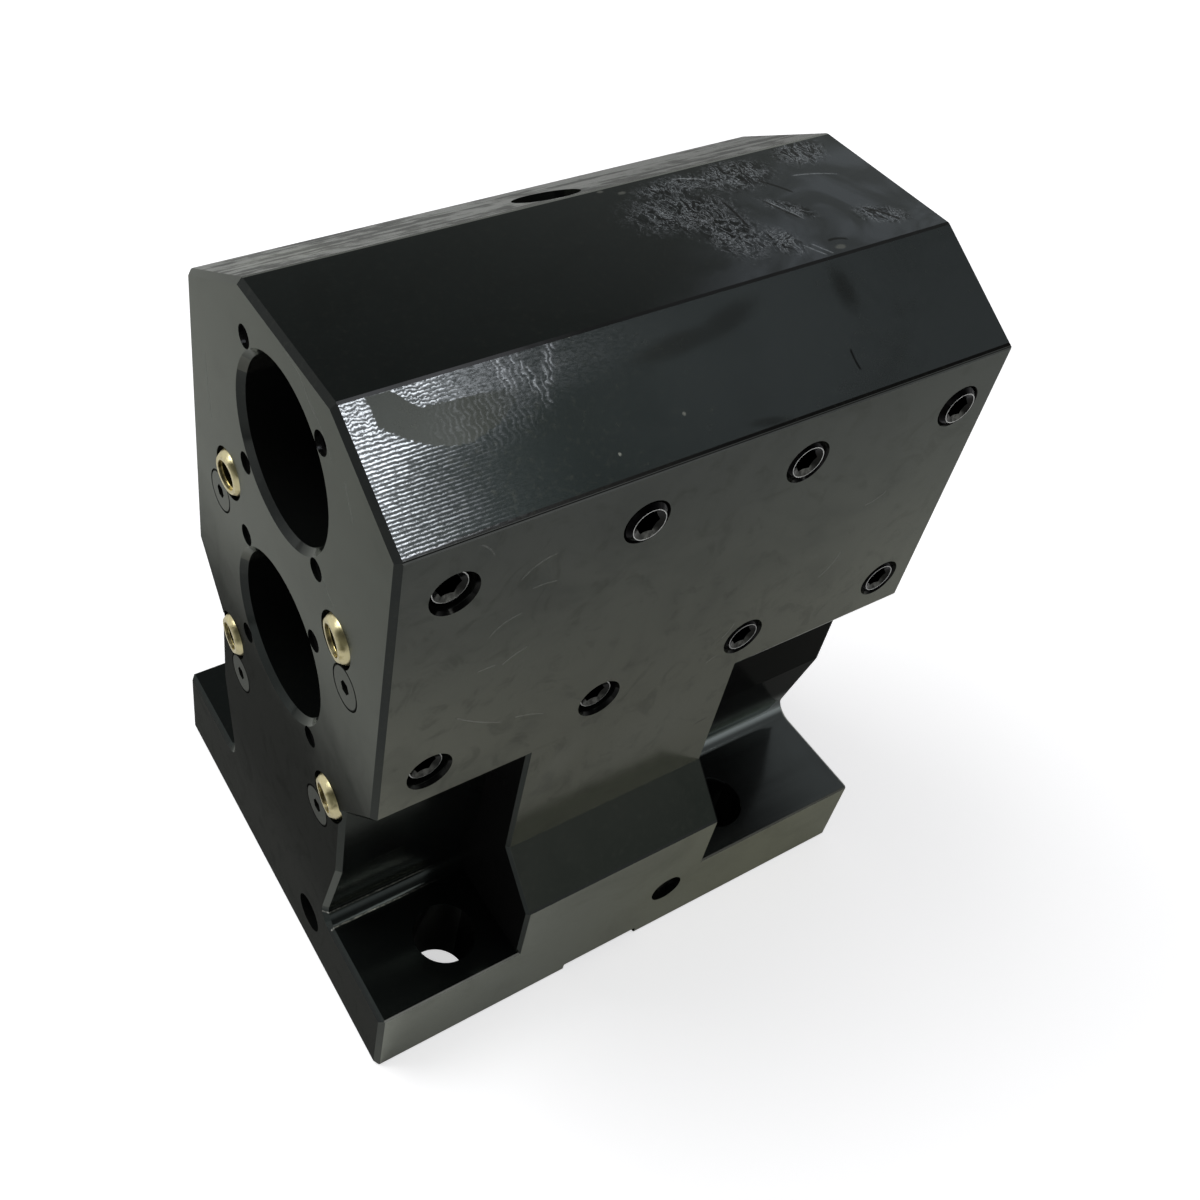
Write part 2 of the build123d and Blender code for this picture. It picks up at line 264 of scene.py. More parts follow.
# %% Masks of the block's faces
steel = Finish("blackened_steel", IOR=1.5)
steel.shader.inputs["Specular Tint"].default_value = (0.975, 1.0, 0.925, 1.0)
lay_out(steel)
x, y, z = steel.x, steel.y, steel.z
shoulder = (steel.nz > 0.80) * (steel.nz < 0.93) * (z > SHOULDER_EDGE_MM - 1.7)
hollow = (z > BASE_TOP_MM - 0.5) * (z < BLOCK_LOW_MM) * (abs(y) < BASE_SIDE_MM - 0.4)
hollow = hollow * (steel.nz > -0.3) * (abs(steel.nx) < 0.9)
edge = (steel.ny < -0.6) * (steel.ny > -0.96)
faces = {
    "end": steel.nx < -0.9,
    "side": (steel.ny < -0.97) * (abs(y + SIDE_MM) < 0.5),
    "underside": (steel.ny < -0.6) * (steel.nz < -0.5) * (z > NECK_MM),
    "base_front": (steel.ny < -0.97) * (y < -SIDE_MM - 2.5),
    "top": (steel.nz > 0.98) * (z > TOP_MM - 1.0),
    "front_slope": shoulder * (steel.ny < -0.3),
    "rear_slope": shoulder * (steel.ny > 0.3),
    "left_pocket": hollow * (x < -POCKET_START_MM),
    "right_pocket": hollow * (x > POCKET_START_MM),
    "right_floor": hollow * (x > POCKET_START_MM) * (steel.nz > 0.98),
    "foot_slope": hollow * (abs(x) < POCKET_START_MM) * (steel.nz > 0.3),
    "upper_edge": edge * (steel.nz > 0.3) * (z > SHOULDER_EDGE_MM - 2.7),
    "lower_edge": edge * (steel.nz < -0.2) * (steel.nz > -0.5) * (z > BLOCK_LOW_MM - 6.0),
    "base_edge": edge * (steel.nz > 0.3) * (z < BASE_TOP_MM + 0.5) * (y < -BASE_SIDE_MM + 0.5),
    "crest": (steel.nz > 0.93) * (steel.nz < 0.99) * (steel.ny < -0.1) * (z > TOP_MM - 2.0),
    "screw_mouth": (abs(steel.ny + 0.51) < 0.11) * (abs(y + SIDE_MM - 0.35) < 0.45) * (z > NECK_MM),
}
down = (abs(y) - TOP_EDGE_MM) / math.cos(math.radians(SLOPE_DEG))
print("face masks:", ", ".join(faces))

# %% [markdown]
# ## The colour under the oil
# Black oxide is a dark mirror: it sends back a few parts in a hundred of the light, tinted. So the
# shader is mostly metallic with a very dark colour. The tint changes across each face: greener on the
# end, olive on the side, bluish in a pocket. Several rows of the table are painted light and shade on
# this one steel, and are marked where they stand.

# %% Cloudy black
streaks = noise(steel, stretched(steel, 0.06, 1.0, 1.0), 0.28, detail=5.0, roughness=0.65)
FACE_TONES_AND_PAINTED_LIGHT = (
    # painted shade: the end darkens towards the base, where it mirrors the shaded floor beside it
    ("end", z, 15.0, 100.0, (0.016, 0.018, 0.014), (0.044, 0.049, 0.040)),
    # painted reflection: the near side lightens towards the bottom, where it mirrors the lit floor; its
    # olive tint is its own
    ("side", z + x * 0.15, 54.0, 146.0, (0.205, 0.208, 0.166), (0.074, 0.080, 0.074)),
    ("underside", x, 24.0, 60.0, (0.110, 0.114, 0.100), (0.160, 0.165, 0.145)),
    # painted reflection: the base front is kept pale, as it mirrors the lit floor in front; the olive
    # brown to the right is its own
    ("base_front", x, -30.0, 50.0, (0.300, 0.312, 0.270), (0.310, 0.312, 0.215)),
    ("top", x, -30.0, 30.0, (0.030, 0.036, 0.034), (0.036, 0.042, 0.041)),
    # painted light: the near shoulder lightens to the right, matched to the light it mirrors
    ("front_slope", x, -25.0, 35.0, (0.010, 0.014, 0.014), (0.082, 0.096, 0.097)),
    ("rear_slope", x, -30.0, 50.0, (0.095, 0.100, 0.096), (0.016, 0.017, 0.015)),
    ("left_pocket", z, 20.0, 50.0, (0.030, 0.036, 0.034), (0.024, 0.028, 0.026)),
    # painted light and shade: the right pocket is pale low on its floor and dark up its walls
    ("right_pocket", z, 20.0, 30.0, (0.200, 0.226, 0.220), (0.008, 0.009, 0.008)),
    # painted light: the right pocket's floor lightens towards its open right end; the streaks in it are
    # its own
    ("right_floor", x + streaks * 12.0, 44.0, 70.0, (0.060, 0.067, 0.066), (0.240, 0.270, 0.265)),
    ("foot_slope", z - x * 0.2, 30.0, 48.0, (0.022, 0.027, 0.022), (0.036, 0.041, 0.034)),
    ("upper_edge", x, -50.0, 50.0, (0.085, 0.090, 0.084), (0.055, 0.060, 0.056)),
    # painted highlight: the left part of the crest between the top and the near shoulder is a pale line
    ("crest", x, -40.0, -10.0, (0.300, 0.310, 0.320), (0.055, 0.057, 0.057)),
    ("lower_edge", x, 10.0, 30.0, (0.080, 0.082, 0.070), (0.420, 0.430, 0.380)),
    # painted glint: the broken edge along the top of the base front is pale at the left
    ("base_edge", x, -50.0, 0.0, (0.240, 0.245, 0.220), (0.080, 0.082, 0.070)),
    ("screw_mouth", x, -50.0, 50.0, (0.004, 0.004, 0.004), (0.008, 0.008, 0.008)),
)
clouds = noise(steel, steel.place, 0.045, detail=5.0, roughness=0.6, distortion=0.8)
mottle = noise(steel, steel.place, 0.9, detail=4.0, roughness=0.7)
drift = clouds * 20.0 - 10.0
black = mix(steel, step_up(steel, clouds, 0.35, 0.7), (0.026, 0.029, 0.028), (0.033, 0.036, 0.033))
for face, along, start, end, first, second in FACE_TONES_AND_PAINTED_LIGHT:
    tone = mix(steel, step_up(steel, along + drift, start, end), first, second)
    black = mix(steel, faces[face], black, tone)
black = mix(steel, step_up(steel, clouds, 0.45, 0.75) * 0.25, black, (0.012, 0.014, 0.012))
black = mix(steel, step_up(steel, mottle, 0.5, 0.9) * 0.3, black, (0.090, 0.094, 0.075))
print("faces with a tint of their own:", len(FACE_TONES_AND_PAINTED_LIGHT))

# %% [markdown]
# ## Milling lines
# A face mill leaves lines the same distance apart all along. Their brightness is a painted highlight,
# strongest at the left end of the near shoulder and dying away along it. Near its top edge chatter has
# broken them into specks.

# %% Lines on the near shoulder
LINE_PITCH_MM = 0.61
wander = noise(steel, stretched(steel, 0.9, 0.5, 0.5), 1.0, detail=2.0)
chatter = step_up(steel, down + x * 0.08, 6.5, -1.0)
grit = noise(steel, stretched(steel, 1.0, 2.4, 2.4), 1.1, detail=4.0, roughness=0.85)
specks = step_up(steel, grit, 0.41, 0.60)
phase = down / LINE_PITCH_MM + wander * (0.5 + chatter * 1.7) + specks * (0.10 + chatter * 0.25)
lines = steel.math("SINE", phase * (2 * math.pi)) * 0.5 + 0.5
# Painted highlight: how fast the glint on the lines dies away from the left end.
fade_length = 5.8 + step_up(steel, down, 12.0, 3.0) * 7.5
painted_glint_fade = steel.math("EXPONENT", (LEFT_MM - x) / fade_length)
clear = step_up(steel, x, -32.0, -46.0)
print("milling lines every", LINE_PITCH_MM, "mm")

# %% [markdown]
# ## The wiped patch
# A thumb has wiped oil over the bright lines by the corner. The patch lies between two curves, has a
# ragged rim and fades to the right, where it shows ripples that run across the lines. Three streaks
# of the same ripples hang from the top edge.

# %% Where the thumb wiped
rag = noise(steel, steel.place, 1.1, detail=4.0, roughness=0.75) - 0.5
patch_top = 0.2 + step_up(steel, x, -47.3, -42.6) * 3.9 + (x + 42.0) * 0.08
from_middle = x + 38.0
patch_low = 11.2 - from_middle * from_middle * 0.042
wiped = step_up(steel, x + rag * 1.5, -50.5, -50.1)
wiped = wiped * step_up(steel, down - patch_top + rag * 1.6, -0.1, 0.1)
wiped = wiped * step_up(steel, patch_low - down + rag * 2.4, -0.1, 0.1)
patch = wiped * step_up(steel, x, -24.0, -36.0)
across = x * 0.95 + steel.math("SINE", down * 2.4) * 0.22 + wander * 1.6 + specks * 0.25
ripples = steel.math("SINE", across * (2 * math.pi)) * 0.5 + 0.5
ripples = ripples * ripples * ripples * (0.4 + specks * 0.9)
on_slope = steel.add("CombineXYZ", {}, x, down, 1.0)
field = spot(steel, on_slope, (-33.5, 8.0), (8.0, 4.5), rim=0.5, rag=rag)
CURTAINS_MM = (
    ((-20.6, 3.2), (0.9, 5.4), 30.0), ((-25.0, 3.4), (1.0, 4.6), -18.0), ((-28.4, 2.2), (1.2, 3.0), -10.0),
)
curtains = strongest([spot(steel, on_slope, *oval, rim=0.7, rag=rag * 1.6) for oval in CURTAINS_MM])
blotches = noise(steel, steel.place, 0.22, detail=3.0, roughness=0.6)
cut = lines * lines * lines * clear * 1.2 + 0.22 * (1.0 - clear)
# Painted highlight: the lines and specks are lit from the left end of the shoulder and fade to the right.
bright = painted_glint_fade * (0.12 + cut * (0.40 + specks * 3.2)) * (0.55 + blotches * 0.9) * (1.0 - patch)
bright = bright * (1.0 - 0.5 * step_up(steel, down, 9.0, 16.0))
soft = patch * 0.026 * step_up(steel, x, -31.0, -41.0) + ripples * (field * 0.050 + curtains * 0.24)
# Painted glint: specks light up along the shoulder's top edge, on its left half.
soft = soft + step_up(steel, down, 0.5, 0.2) * specks * step_up(steel, x, -22.0, -40.0) * 0.5
shoulder_marks_and_painted_glint = faces["front_slope"] * (bright + soft)

# %% [markdown]
# ## Handling marks
# Scratches and spots are given in plain millimetres on each face's own axes, in four tables: pale or
# dark, line or oval. A line carries its two ends, its width and its bow, an oval its centre, its half
# axes and its turn.

# %% Marks by face, in millimetres
PALE_LINES = {
    "side": [
        ((14.8, 81.1), (17.6, 82.3), 0.25, 0.3), ((16.6, 87.2), (19.0, 91.1), 0.25, -0.4),
        ((37.5, 93.9), (41.9, 100.5), 0.25, -0.9), ((42.6, 111.5), (47.9, 113.6), 0.25, -0.7),
        ((-42.0, 139.0), (-39.0, 135.3), 0.25, 0.4), ((-33.6, 126.9), (-26.8, 130.6), 0.3, 1.0),
        ((-31.2, 124.2), (-25.7, 123.8), 0.25, 0.3), ((-38.9, 108.1), (-35.0, 108.0), 0.25, 0.2),
        ((-34.3, 107.1), (-29.0, 109.8), 0.25, 0.4), ((-42.0, 98.2), (-30.9, 90.4), 0.25, -0.5),
        ((-29.6, 90.7), (-22.3, 87.6), 0.2, 0.4), ((-37.8, 115.7), (-31.4, 119.1), 0.25, 1.0),
    ],
        "top": [
        ((48.2, 6.8), (57.7, 3.8), 0.3, 0.5), ((35.6, -11.4), (37.8, -15.6), 0.3, 0.0),
        ((37.2, -11.6), (39.2, -15.6), 0.3, 0.0), ((38.4, 1.8), (41.4, -5.6), 0.2, 0.3),
        ((26.4, 14.0), (33.0, 11.4), 0.3, 0.4),
    ],
    "end": [
        ((-1.0, 152.0), (-7.0, 151.0), 0.2, 0.2), ((-6.3, 151.0), (-12.1, 147.0), 0.25, 0.3),
        ((-9.6, 149.0), (-17.6, 143.0), 0.2, -0.3), ((-15.8, 117.3), (-20.4, 114.1), 0.25, 0.5),
        ((-21.5, 143.0), (-24.8, 137.0), 0.25, 0.2), ((30.2, 128.8), (28.2, 114.4), 0.2, 0.2),
    ],
}
DARK_LINES = {
    "side": [((17.8, 60.4), (21.0, 60.8), 0.2, 0.0)],
    "front_slope": [((33.0, 15.6), (33.1, 19.9), 0.35, 0.2)],
    "top": [
        ((41.1, 8.2), (45.3, 1.9), 0.45, 0.3), ((38.0, 2.6), (41.0, -5.0), 0.4, -0.2),
        ((30.9, 5.3), (29.8, -4.9), 0.45, 0.4), ((40.5, -12.2), (44.6, -13.2), 0.5, 0.5),
        ((53.4, -6.0), (58.0, -12.6), 0.5, 0.5),
    ],
}
PALE_SPOTS = {
    "front_slope": [((-2.2, 17.2), (0.3, 0.3)), ((-15.7, 19.9), (0.25, 0.25)), ((-15.4, 0.2), (0.4, 0.2))],
    "top": [((12.2, 15.4), (0.6, 0.3)), ((15.7, 13.7), (0.8, 0.4)), ((41.6, -14.4), (1.0, 0.6))],
    "rear_slope": [((-42.5, 11.5), (8.0, 6.5))],
    "side": [((4.0, 64.0), (12.0, 8.0), 20.0, 0.9), ((-16.0, 69.0), (3.0, 8.0), -30.0, 0.8)],
}
DARK_SPOTS = {
    "front_slope": [
        ((2.5, 6.4), (8.5, 1.7), -4.0, 0.5), ((12.5, 5.0), (6.5, 1.9), -14.0, 0.6),
        ((37.3, 6.0), (1.9, 3.6), 0.0, 0.6), ((12.0, 22.8), (3.5, 0.7), 10.0, 0.7),
    ],
    "rear_slope": [((-43.5, 10.5), (5.0, 4.2))],
    "top": [((24.0, 1.5), (2.6, 2.6), 0.0, 0.3), ((40.0, 12.5), (3.0, 2.4), 0.0, 0.3)],
}


FACE_POINTS = {
    "side": steel.add("CombineXYZ", {}, x, z, 1.0),
    "top": steel.add("CombineXYZ", {}, x, y, 1.0),
    "end": steel.add("CombineXYZ", {}, y, z, 1.0),
    "front_slope": on_slope,
    "rear_slope": on_slope,
}


def marks(table, draw, **rest):
    """One mask for all the marks of a table."""
    by_face = []
    for face, items in table.items():
        on_face = strongest([draw(steel, FACE_POINTS[face], *item, **rest) for item in items])
        by_face.append(on_face * faces[face])
    return strongest(by_face)


pale_lines, dark_lines = marks(PALE_LINES, scratch), marks(DARK_LINES, scratch)
pale_spots, dark_spots = marks(PALE_SPOTS, spot, rag=rag), marks(DARK_SPOTS, spot, rag=rag)
TABLES = (PALE_LINES, DARK_LINES, PALE_SPOTS, DARK_SPOTS)
print("marks:", sum(len(items) for table in TABLES for items in table.values()))

# %% [markdown]
# ## Oil on the top and streaks on the far shoulder
# A film of oil hazes the right of the top face, and it has wrinkled in a few places. Where a rough
# noise crosses its middle value it draws crooked strings, which are painted pale, and far from that
# value it leaves pits, which are painted dark. On the far shoulder the film was wiped along the part.

# %% Dried oil
haze = faces["top"] * step_up(steel, x - y * 1.2 + clouds * 24.0, 28.0, 62.0)
smears = noise(steel, steel.place, 0.075, detail=3.0, roughness=0.55, distortion=1.0)
rear_dark = step_up(steel, y + smears * 6.0, 17.0, 12.0)
haze = haze * (0.45 + step_up(steel, smears, 0.36, 0.60) * 0.75) * (0.35 + rear_dark * 0.65)
WRINKLED_MM = [
    ((22.0, 4.5), (9.0, 5.5), -10.0), ((26.5, -3.5), (5.0, 7.0), 0.0), ((26.0, 11.8), (7.5, 2.6), 0.0),
    ((38.5, 10.8), (7.0, 4.0), 0.0), ((55.5, 12.6), (5.0, 3.6), 0.0), ((55.8, -9.3), (4.5, 2.4), -30.0),
    ((41.0, -1.5), (4.5, 1.6), -50.0), ((33.0, -9.0), (3.0, 4.0), 20.0),
]
skin = strongest([spot(steel, FACE_POINTS["top"], *oval, rim=0.5, rag=rag * 1.6) for oval in WRINKLED_MM])
skin = skin * faces["top"]
ridges = noise(steel, stretched(steel, 1.3, 0.7, 1.0), 0.42, detail=6.0, roughness=0.74, distortion=0.9)
ridges = abs(ridges - 0.5)
ridge_pale = step_up(steel, ridges, 0.028, 0.008) * skin
ridge_dark = step_up(steel, ridges + (blotches - 0.5) * 0.12, 0.050, 0.085) * skin
haze = strongest([haze, skin * 0.30])
streaked = faces["rear_slope"] * step_up(steel, streaks + (blotches - 0.5) * 0.5, 0.46, 0.58)
stains = noise(steel, steel.place, 0.11, detail=6.0, roughness=0.66, distortion=1.6)
stained = (faces["side"] + faces["end"] * 0.6) * step_up(steel, stains, 0.50, 0.66)
print("wrinkled patches:", len(WRINKLED_MM))

# %% [markdown]
# ## Everything on the block put together
# Layers go on from the widest to the smallest: cloudy black, the milling lines with their painted
# highlight, the oil, the spots and the scratches, as on the real block, and last a painted dark line
# along the near shoulder's edge. Roughness follows the same masks, since oil shines and a scratch does
# not. Two rubbed lines run along the cove of the near left pocket.
#
# A low angle makes any metal shine, whatever its colour, so shade is painted with a second, matt
# shader: on the end towards the base and on the back of the right pocket. The wiped streaks are dulled
# by it too. The relief uses only a few of the masks, because a Bump node works out all that feeds it
# three times for every sample.

# %% Colour, roughness and relief of the block
COVE_FOOT_MM, COVE_TOP_MM = 25.3, 21.8
colour = mix(steel, haze * 0.9, black, (0.108, 0.122, 0.134))
colour = mix(steel, patch * faces["front_slope"] * 0.5, colour, (0.040, 0.042, 0.034))
# Painted highlight: the lit milling lines go towards a pale steel, along with the wiped patch and the edge
# glint.
colour = mix(steel, shoulder_marks_and_painted_glint, colour, (0.68, 0.72, 0.765))
colour = mix(steel, streaked * 0.75, colour, (0.006, 0.007, 0.006))
colour = mix(steel, stained * 0.30, colour, (0.030, 0.032, 0.024))
colour = mix(steel, pale_spots * (0.2 + 0.3 * (steel.nz > 0.5)), colour, (0.30, 0.31, 0.27))
colour = mix(steel, dark_spots * 0.45, colour, (0.012, 0.012, 0.010))
colour = mix(steel, ridge_dark * 0.85, colour, (0.006, 0.007, 0.007))
colour = mix(steel, ridge_pale * (0.12 + specks * 0.85), colour, (0.42, 0.45, 0.47))
scraped = mix(steel, faces["top"], (0.26, 0.27, 0.24), (0.42, 0.45, 0.47))
broken = step_up(steel, specks * 0.5 + rag + 0.5, 0.55, 0.95)
colour = mix(steel, pale_lines * (0.06 + broken * 0.34), colour, scraped)
colour = mix(steel, dark_lines * 0.85, colour, (0.006, 0.006, 0.006))
cove_foot = step_up(steel, abs(y + COVE_FOOT_MM), 0.24, 0.08) * (z < BASE_TOP_MM + 0.5)
cove_top = step_up(steel, abs(z - COVE_TOP_MM), 0.24, 0.08) * (y < 0.0)
cove_rubs = strongest([cove_foot, cove_top]) * faces["left_pocket"]
cove_rubs = cove_rubs * step_up(steel, x + rag * 12.0, -28.0, -36.0)
colour = mix(steel, cove_rubs * (0.15 + broken * 0.85), colour, (0.50, 0.50, 0.45))
# Painted shade: a thin dark line along the edge between the near side and the shoulder.
painted_edge_shade = step_up(steel, abs(z - SHOULDER_EDGE_MM), 0.12, 0.05) * faces["upper_edge"]
colour = mix(steel, painted_edge_shade, colour, (0.002, 0.002, 0.002))
steel.give("Base Color", colour)
steel.give("Metallic", 0.85 - pale_lines * 0.4 - ridge_pale * 0.3)
dull = faces["front_slope"] * 0.12 + faces["rear_slope"] * 0.10 + faces["end"] * 0.10 + haze * 0.08
steel.give("Roughness", 0.10 + dull + clouds * 0.05 + mottle * 0.04 + pale_lines * 0.2)
grain = noise(steel, stretched(steel, 0.12, 3.0, 3.0), 1.6, detail=3.0, roughness=0.6)
relief = grain * 0.002 + mottle * 0.002 + faces["front_slope"] * painted_glint_fade * lines * 0.002
steel.give("Normal", steel.add("Bump", {}, Strength=0.6, Distance=0.001, Height=relief))
# Painted shade: a matt black darkens the end towards the base, where it mirrors the shaded floor beside
# it; its stains are darkened a little too.
end_painted_shade_and_stains = step_up(steel, z + clouds * 20.0, 112.0, 72.0) * 0.84 - step_up(steel, z, 40.0, 14.0) * 0.06
end_painted_shade_and_stains = faces["end"] * (end_painted_shade_and_stains + stained * 0.05)
# Painted shade: a matt black darkens the walls of the right pocket above its floor.
pocket_painted_shade = faces["right_pocket"] * step_up(steel, z, 21.0, 30.0) * 0.8
steel.dull(end_painted_shade_and_stains + pocket_painted_shade + streaked * 0.45)
nodes["holder_body"].data.materials.clear()
nodes["holder_body"].data.materials.append(steel.material)
print("block finish nodes:", len(steel.tree.nodes))

# %% [markdown]
# ## Screws, plugs and rubber
# The clamp screws are blacked too, but finer and glossier than the block. Their cones are black, with a
# painted sheen on the sides that face up, and the narrow flat rim between them is worn bright by the
# key. The seals are matt rubber.

# %% Black screws and plugs
screws = Finish("black_screw_steel", IOR=1.5)
lay_out(screws)
screw_clouds = noise(screws, screws.place, 0.6, detail=4.0, roughness=0.6)
screw_tone = step_up(screws, screw_clouds, 0.3, 0.75)
screw_black = mix(screws, screw_tone, (0.002, 0.002, 0.002), (0.006, 0.006, 0.006))
front = screws.ny < -0.97
socket_cone = (screws.ny < -0.8) * (1.0 - front)
key_wear = step_up(screws, noise(screws, screws.place, 1.5, detail=3.0), 0.3, 0.6)
# Painted sheen: the socket cones are lighter on the sides that face up, as if lit from above.
upward_lit_side = step_up(screws, screws.nz + screws.nx * 0.3, 0.10, 0.40)
cone_painted_sheen = socket_cone * (0.15 + upward_lit_side * 0.5 * (0.5 + key_wear))
screw_colour = mix(screws, cone_painted_sheen, screw_black, (0.110, 0.112, 0.100))
screws.give("Base Color", mix(screws, front * (0.6 + key_wear * 0.4), screw_colour, (0.85, 0.86, 0.82)))
screws.give("Metallic", 1.0)
screws.give("Roughness", 0.12 + screw_clouds * 0.10 + front * 0.15)
fine = noise(screws, screws.place, 3.0, detail=3.0)
screws.give("Normal", screws.add("Bump", {}, Strength=0.4, Distance=0.001, Height=fine * 0.006))

# %% Plugs sunk in their ports
plugs = Finish("plug_steel", IOR=1.5)
lay_out(plugs)
grime = noise(plugs, plugs.place, 0.7, detail=4.0, roughness=0.65)
plug_tone = step_up(plugs, grime, 0.3, 0.7)
plugs.give("Base Color", mix(plugs, plug_tone, (0.020, 0.021, 0.018), (0.060, 0.060, 0.048)))
plugs.give("Metallic", 0.85)
plugs.give("Roughness", 0.25 + grime * 0.2)

# %% The flush screws by the nozzles
LOCK_SIDE_MM = {"upper": 25.2, "lower": 17.5}
LOCK_HEIGHT_MM = {"upper": 99.4, "lower": 54.4}
LOCK_RIM_MM = (3.82, 3.95)
flush = Finish("flush_screw_steel", IOR=1.5)
flush.shader.inputs["Specular Tint"].default_value = (0.975, 1.0, 0.925, 1.0)
lay_out(flush)
upper = flush.z > sum(LOCK_HEIGHT_MM.values()) / 2
lock_side, lock_height = (
    at["lower"] + (at["upper"] - at["lower"]) * upper for at in (LOCK_SIDE_MM, LOCK_HEIGHT_MM)
)
aside, above = abs(flush.y) - lock_side, flush.z - lock_height
from_axis = flush.math("SQRT", aside * aside + above * above)
rim = step_up(flush, from_axis, *LOCK_RIM_MM)
flush_clouds = noise(flush, flush.place, 0.4, detail=4.0, roughness=0.6)
flush_tone = step_up(flush, flush_clouds, 0.3, 0.75)
flush_black = mix(flush, flush_tone, (0.026, 0.029, 0.024), (0.036, 0.040, 0.033))
flush.give("Base Color", mix(flush, rim, flush_black, (0.002, 0.002, 0.002)))
flush.give("Metallic", 0.85)
flush.give("Roughness", 0.20 + flush_clouds * 0.08)
turned = flush.math("SINE", from_axis * 20.0)
flush.give("Normal", flush.add("Bump", {}, Strength=0.3, Distance=0.001, Height=turned * 0.002))
# Painted shade: the lower screws are dimmed to match the shaded foot of the end; the dark ring round each
# is its gap.
flush.dull(rim * 0.85 + (1.0 - rim) * (1.0 - upper) * 0.4)

# %% Rubber of the seals
rubber = Finish("seal_rubber", IOR=1.5)
lay_out(rubber)
dust = noise(rubber, rubber.place, 1.5, detail=4.0, roughness=0.7)
dusted = step_up(rubber, dust, 0.4, 0.8)
rubber.give("Base Color", mix(rubber, dusted, (0.010, 0.010, 0.010), (0.03, 0.03, 0.03)))
rubber.give("Roughness", 0.6 + dust * 0.2)

# %% [markdown]
# ## Brass of the nozzles
# The nozzles are turned from brass and polished by hands and coolant: pale where they stand out and
# browner in the recess. Rings from the lathe run round each nozzle's own axis, through its centre. A
# dark olive patch on each ball is a painted reflection of a dark room.

# %% Polished brass
NOZZLE_X_MM, NOZZLE_SIDE_MM, NOZZLE_DROP_MM, RING_PITCH_MM = -52.8, 21.3, 22.7, 0.22
NOZZLE_AIMS = {
    ("upper", "front"): (-4.0, 6.0),
    ("upper", "rear"): (-2.0, -3.0),
    ("lower", "front"): (-5.0, 6.0),
    ("lower", "rear"): (-2.0, 3.0),
}


def brass_for(level, hand):
    """The brass of one nozzle. Its rings and its bore, painted dark as shade, follow its own aim."""
    brass = Finish(f"brass_{level}_{hand}", Metallic=1.0)
    lay_out(brass)
    sign = -1 if hand == "front" else 1
    centre = (NOZZLE_X_MM, sign * NOZZLE_SIDE_MM, BORE_HEIGHTS_MM[level] - NOZZLE_DROP_MM)
    rise, turn = (math.radians(angle) for angle in NOZZLE_AIMS[level, hand])
    aim = (-math.cos(rise) * math.cos(turn), math.cos(rise) * math.sin(turn), math.sin(rise))
    out = brass.add("VectorMath", {"operation": "SUBTRACT"}, brass.place, centre)
    along = brass.add("VectorMath", {"operation": "DOT_PRODUCT"}, out, aim, output="Value")
    reach = brass.add("VectorMath", {"operation": "LENGTH"}, out, output="Value")
    radius = brass.math("SQRT", reach * reach - along * along)
    tarnish = noise(brass, brass.place, 0.55, detail=4.0, roughness=0.6, distortion=0.6)
    # Painted reflection: a dark olive patch where the surface faces up, left and towards the front, as a
    # dark room would mirror in it.
    facing = brass.nx * -0.58 + brass.ny * -0.53 + brass.nz * 0.61
    painted_dark_reflection = step_up(brass, facing + tarnish * 0.16, 0.96, 1.07) * step_up(brass, radius, 3.4, 4.2)
    # Painted shade: the nozzle's bore is dark brass.
    bore = step_up(brass, radius, 2.75, 2.62)
    recess = step_up(brass, radius, 3.02, 2.94) * (1.0 - bore)
    browned = recess * step_up(brass, tarnish, 0.42, 0.62)
    tone = mix(brass, step_up(brass, tarnish, 0.5, 0.75), (0.80, 0.72, 0.42), (0.56, 0.48, 0.23))
    tone = mix(brass, painted_dark_reflection * 0.85, tone, (0.085, 0.080, 0.032))
    tone = mix(brass, browned * 0.8, tone, (0.16, 0.12, 0.04))
    brass.give("Base Color", mix(brass, bore, tone, (0.030, 0.026, 0.008)))
    brass.give("Roughness", 0.27 + tarnish * 0.10 + bore * 0.2)
    rings = brass.math("SINE", radius * (2 * math.pi / RING_PITCH_MM))
    brass.give("Normal", brass.add("Bump", {}, Strength=0.35, Distance=0.001, Height=rings * 0.003))
    return brass


# %% Give every node its finish
for name, node in nodes.items():
    if name == "holder_body":
        continue
    if name.endswith("_nozzle"):
        level, hand, _ = name.split("_")
        finish = brass_for(level, hand)
    elif name.endswith("_seal"):
        finish = rubber
    elif name.endswith("_lock_screw"):
        finish = flush
    elif name.endswith("_plug"):
        finish = plugs
    else:
        finish = screws
    node.data.materials.clear()
    node.data.materials.append(finish.material)
print("nodes with a finish:", sum(bool(node.data.materials) for node in nodes.values()))

# %% [markdown]
# ## Threads
# The tapped holes would be bare tubes in the CAD model, because a thread there costs thousands of
# faces. Here each thread is a thin ridge wound along the hole: a three-sided profile swept along a
# helix, made point by point, since a Screw modifier would not taper its ends.

